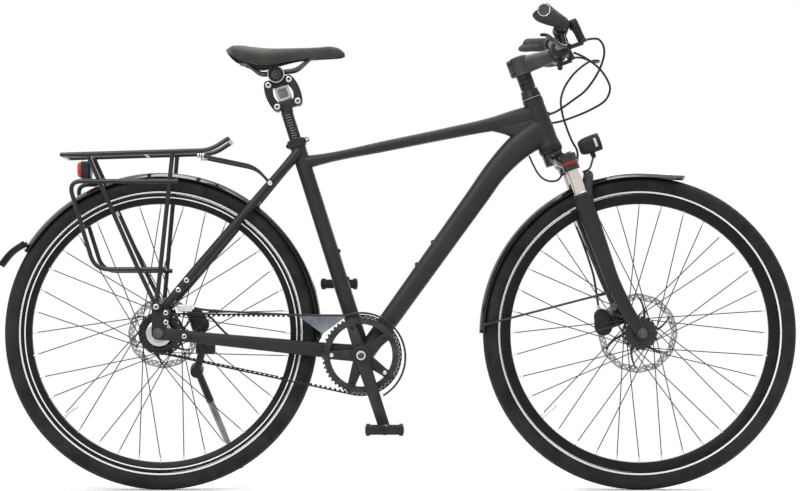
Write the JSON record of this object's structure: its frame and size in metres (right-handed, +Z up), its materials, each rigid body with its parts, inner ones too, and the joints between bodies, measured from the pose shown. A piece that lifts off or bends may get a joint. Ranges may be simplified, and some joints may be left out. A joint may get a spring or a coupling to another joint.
{
  "type": "touring bicycle",
  "caption": "Touring bicycle with toothed belt drive, hub gear, suspension fork and seatpost, disc brakes, rack, mudguards, lamps and kickstand.",
  "frame": {"origin": "ground point under the rear axle, on the rear tyre's flat lowest strip", "axes": "+X forward, +Y to the rider's left, +Z up; the belt drive is on the -Y side"},
  "size_m": [1.7776, 0.6416, 1.0471],
  "materials": {
    "frame_alloy": "matt black lacquer on aluminium alloy",
    "black_alloy": "satin black anodised",
    "silver_alloy": "satin silver",
    "gloss_fork": "gloss black lacquer",
    "steel": "brushed",
    "tyre": "moulded rubber with a pale reflecting line",
    "rubber": "matt rubber",
    "black_plastic": "moulded",
    "guard_plastic": "smooth",
    "lamp_red": "clear red lens on a black case",
    "cover": "matt grained synthetic leather over foam"
  },
  "bodies": {
    "frame": {"frame": "frame_alloy", "dropout_right": "frame_alloy", "upper_headset_cup": "black_alloy", "lower_headset_cup": "black_alloy", "seat_clamp": "black_alloy", "bottom_bracket": "silver_alloy", "rear_mudguard": "guard_plastic", "rack": "black_alloy", "rack_stay": "steel", "rear_light": "lamp_red", "rear_caliper": "black_alloy", "kickstand_bracket": "black_alloy", "belt": "rubber", "belt_guard": "steel", "rear_axle": "steel", "rear_brake_hose": "rubber", "shift_cable": "rubber", "light_cable": "rubber"},
    "seatpost": {"seatpost": "black_alloy"},
    "link_rear": {"seatpost_link_rear": "black_alloy"},
    "link_front": {"seatpost_link_front": "black_alloy"},
    "carrier": {"saddle_carrier": "black_alloy", "elastomer": "rubber"},
    "saddle": {"saddle_rails": "steel", "saddle_shell": "black_plastic", "saddle_cover": "cover"},
    "kickstand": {"kickstand_leg": "black_alloy"},
    "crankset": {"crank_spindle": "steel", "crank_right": "black_alloy", "front_sprocket": "black_alloy", "crank_left": "black_alloy"},
    "pedal_right": {"pedal_right": "black_plastic"},
    "pedal_left": {"pedal_left": "black_plastic"},
    "rear_sprocket": {"rear_sprocket": "steel"},
    "rear_wheel": {"rear_tyre": "tyre", "rear_rim": "black_alloy", "rear_hub": "silver_alloy", "rear_disc": "steel"},
    "steering": {"fork_crown": "gloss_fork", "stem": "black_alloy", "handlebar": "black_alloy", "grip_right": "rubber", "grip_left": "rubber", "brake_housing_right": "black_alloy", "brake_housing_left": "black_alloy", "shifter": "black_plastic"},
    "shift_lever": {"shift_lever": "silver_alloy"},
    "brake_lever_right": {"brake_lever_right": "black_alloy"},
    "brake_lever_left": {"brake_lever_left": "black_alloy"},
    "fork_lowers": {"fork_lowers": "gloss_fork", "front_caliper": "black_alloy", "front_mudguard": "guard_plastic", "front_axle": "steel", "light_bracket": "steel", "front_brake_hose": "rubber"},
    "headlight": {"headlight": "black_plastic"},
    "front_wheel": {"front_tyre": "tyre", "front_rim": "black_alloy", "front_hub": "silver_alloy", "front_disc": "steel"}
  },
  "joints": [
    {"name": "steering_turn", "type": "hinge", "parent": "frame", "child": "steering", "pos_m": [1.02537, 0, 0.33427], "axis": [-0.342, 0, 0.9397], "range_deg": [-75, 75], "deforming": ["rear_brake_hose", "shift_cable", "light_cable"]},
    {"name": "fork_travel", "type": "slide", "parent": "steering", "child": "fork_lowers", "axis": [-0.342, 0, 0.9397], "range_m": [0, 0.05], "stiffness_N_per_m": 9000, "springref_m": -0.012, "deforming": ["front_brake_hose"]},
    {"name": "front_wheel_spin", "type": "hinge", "parent": "fork_lowers", "child": "front_wheel", "pos_m": [1.0686, 0, 0.35], "axis": [0, 1, 0], "continuous": true},
    {"name": "rear_wheel_spin", "type": "hinge", "parent": "frame", "child": "rear_wheel", "pos_m": [0, 0, 0.35], "axis": [0, 1, 0], "continuous": true},
    {"name": "crank_spin", "type": "hinge", "parent": "frame", "child": "crankset", "pos_m": [0.4472, 0, 0.301], "axis": [0, 1, 0], "continuous": true, "deforming": ["belt"]},
    {"name": "rear_sprocket_spin", "type": "hinge", "parent": "frame", "child": "rear_sprocket", "pos_m": [0, 0, 0.35], "axis": [0, 1, 0], "continuous": true},
    {"name": "pedal_right_spin", "type": "hinge", "parent": "crankset", "child": "pedal_right", "pos_m": [0.49973, -0.13, 0.13932], "axis": [0, 1, 0], "continuous": true},
    {"name": "pedal_left_spin", "type": "hinge", "parent": "crankset", "child": "pedal_left", "pos_m": [0.39467, 0.13, 0.46268], "axis": [0, 1, 0], "continuous": true},
    {"name": "kickstand_fold", "type": "hinge", "parent": "frame", "child": "kickstand", "pos_m": [0.072, 0.092, 0.268], "axis": [0, 0.9455, 0.3256], "range_deg": [0, 105]},
    {"name": "brake_lever_right_pull", "type": "hinge", "parent": "steering", "child": "brake_lever_right", "pos_m": [0.89723, -0.172, 0.97138], "axis": [-0.863, 0.4708, 0.1835], "range_deg": [0, 11], "stiffness_Nm_per_rad": 5, "springref_deg": -11.46},
    {"name": "brake_lever_left_pull", "type": "hinge", "parent": "steering", "child": "brake_lever_left", "pos_m": [0.89723, 0.172, 0.97138], "axis": [0.863, 0.4708, -0.1835], "range_deg": [0, 11], "stiffness_Nm_per_rad": 5, "springref_deg": -11.46},
    {"name": "shift_lever_push", "type": "hinge", "parent": "steering", "child": "shift_lever", "pos_m": [0.88205, -0.1187, 0.97036], "axis": [0, -1, 0], "range_deg": [0, 30], "stiffness_Nm_per_rad": 0.8, "springref_deg": -11.46},
    {"name": "seatpost_height", "type": "slide", "parent": "frame", "child": "seatpost", "axis": [-0.3024, 0, 0.9532], "range_m": [-0.05, 0.08]},
    {"name": "seatpost_spring", "type": "hinge", "parent": "seatpost", "child": "link_rear", "pos_m": [0.2594, 0, 0.8546], "axis": [0, -1, 0], "range_deg": [0, 35], "stiffness_Nm_per_rad": 85, "springref_deg": -8.59, "deforming": ["elastomer"]},
    {"name": "front_link_swing", "type": "hinge", "parent": "seatpost", "child": "link_front", "pos_m": [0.3052, 0, 0.868], "axis": [0, -1, 0], "range_deg": [0, 35]},
    {"name": "carrier_swing", "type": "hinge", "parent": "link_rear", "child": "carrier", "pos_m": [0.23955, 0, 0.90299], "axis": [0, -1, 0], "range_deg": [-35, 0]},
    {"name": "saddle_tilt", "type": "hinge", "parent": "carrier", "child": "saddle", "pos_m": [0.2571, 0, 0.9262], "axis": [0, 1, 0], "range_deg": [-12, 12]},
    {"name": "headlight_tilt", "type": "hinge", "parent": "fork_lowers", "child": "headlight", "pos_m": [0.96604, 0, 0.74579], "axis": [0, 1, 0], "range_deg": [-15, 15]}
  ],
  "couplings": [
    {"joint": "rear_sprocket_spin", "follows": "crank_spin", "ratio": 2.0833},
    {"joint": "front_link_swing", "follows": "seatpost_spring", "ratio": 1},
    {"joint": "carrier_swing", "follows": "seatpost_spring", "ratio": -1}
  ]
}
